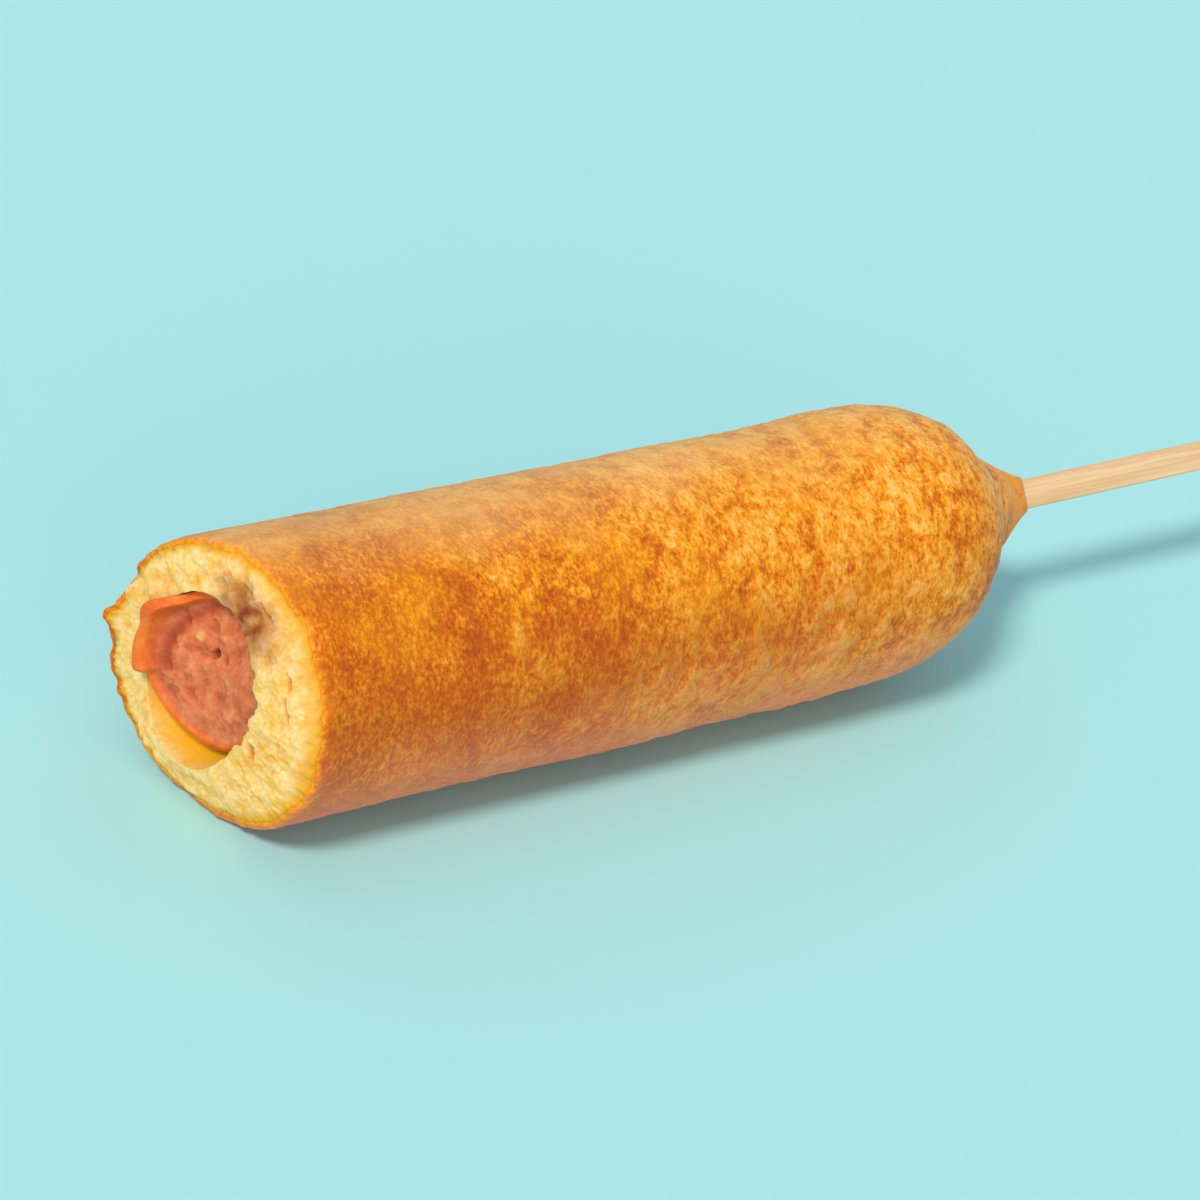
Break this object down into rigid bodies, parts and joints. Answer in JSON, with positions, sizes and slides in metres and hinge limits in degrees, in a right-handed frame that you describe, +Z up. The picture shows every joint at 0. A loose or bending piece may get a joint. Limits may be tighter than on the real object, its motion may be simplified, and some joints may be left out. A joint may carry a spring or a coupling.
{
  "type": "corn dog",
  "caption": "Sausage fried in a thick cornmeal batter on a flat wooden stick, lying on its side with the end bitten off.",
  "frame": {"origin": "on the resting flat under the batter, about half way along the food", "axes": "+X along the food from the bite towards the stick's handle, +Z up, away from the resting flat"},
  "size_m": [0.2497, 0.0435, 0.0436],
  "materials": {
    "crust": "golden brown fried cornmeal batter, matt and finely grainy",
    "crumb": "pale yellow baked crumb with small holes, seen at the bite",
    "sausage": "pinkish brown cooked sausage, moist, with a smooth skin",
    "stick_wood": "plain pale birch"
  },
  "bodies": {
    "root": {"batter": "crust", "sausage": "sausage", "stick": "stick_wood"}
  },
  "joints": []
}
